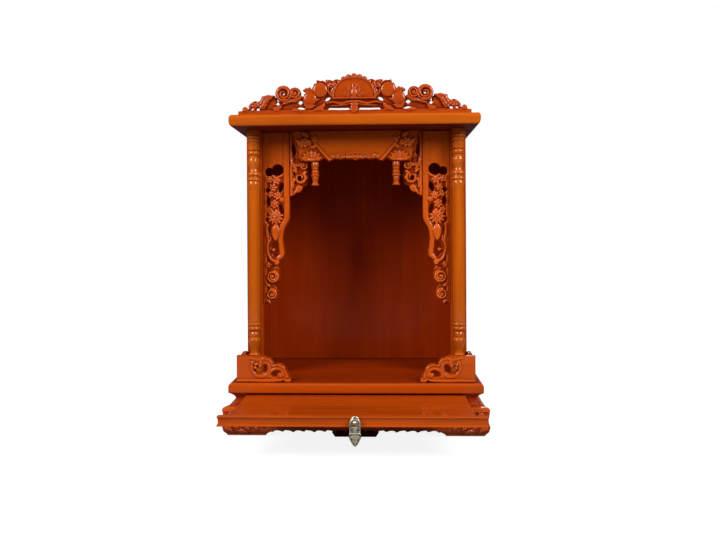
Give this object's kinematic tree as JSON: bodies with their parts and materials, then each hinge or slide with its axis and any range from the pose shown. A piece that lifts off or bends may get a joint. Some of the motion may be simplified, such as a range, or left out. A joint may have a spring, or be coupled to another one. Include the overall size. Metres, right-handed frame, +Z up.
{
  "type": "household altar cabinet",
  "caption": "Lacquered wooden household shrine: open niche with turned columns, pierced crest and carved brackets, on a low stand with a pull-out offering shelf.",
  "frame": {"origin": "middle of the underside of the object's box, with the shelf pulled out as it rests", "axes": "+Z up, the open front faces -Y, +X to the right of someone who looks at the front"},
  "size_m": [0.41, 0.3766, 0.56],
  "materials": {
    "lacquer": "clear red-brown gloss lacquer over straight grain",
    "carved_lacquer": "gloss lacquer, darker in the carving's recesses",
    "niche_lacquer": "red-brown gloss lacquer",
    "plain_wood": "thin satin stain on hidden faces",
    "aged_brass": "cast antique brass, dark in the recesses"
  },
  "bodies": {
    "cabinet": {"apron_back": "plain_wood", "apron_front": "carved_lacquer", "apron_left": "carved_lacquer", "apron_right": "carved_lacquer", "back_panel": "niche_lacquer", "centre_foot": "lacquer", "column_left": "lacquer", "column_right": "lacquer", "corner_bracket_left": "carved_lacquer", "corner_bracket_right": "carved_lacquer", "crest": "carved_lacquer", "deck_board": "plain_wood", "floor_board": "lacquer", "leg_back_left": "carved_lacquer", "leg_back_right": "carved_lacquer", "leg_front_left": "carved_lacquer", "leg_front_right": "carved_lacquer", "niche_floor_panel": "niche_lacquer", "pendant_left": "lacquer", "pendant_right": "lacquer", "podium_panel_left": "carved_lacquer", "podium_panel_right": "carved_lacquer", "podium_return_left": "carved_lacquer", "podium_return_right": "carved_lacquer", "roof_board": "lacquer", "side_bracket_left": "carved_lacquer", "side_bracket_right": "carved_lacquer", "side_panel_left": "niche_lacquer", "side_panel_right": "niche_lacquer", "stile_left": "lacquer", "stile_right": "lacquer", "valance": "carved_lacquer", "waist_back": "plain_wood", "waist_side_left": "lacquer", "waist_side_right": "lacquer"},
    "shelf": {"shelf_board": "lacquer", "shelf_fascia": "lacquer", "pull_post": "aged_brass"},
    "pull": {"pull_drop": "aged_brass"}
  },
  "joints": [
    {"name": "shelf_slide", "type": "slide", "parent": "cabinet", "child": "shelf", "axis": [0, -1, 0], "range_m": [-0.1215, 0.035]},
    {"name": "pull_swing", "type": "hinge", "parent": "shelf", "child": "pull", "pos_m": [0.0046, -0.17995, 0.0612], "axis": [-1, 0, 0], "range_deg": [0, 75]}
  ]
}
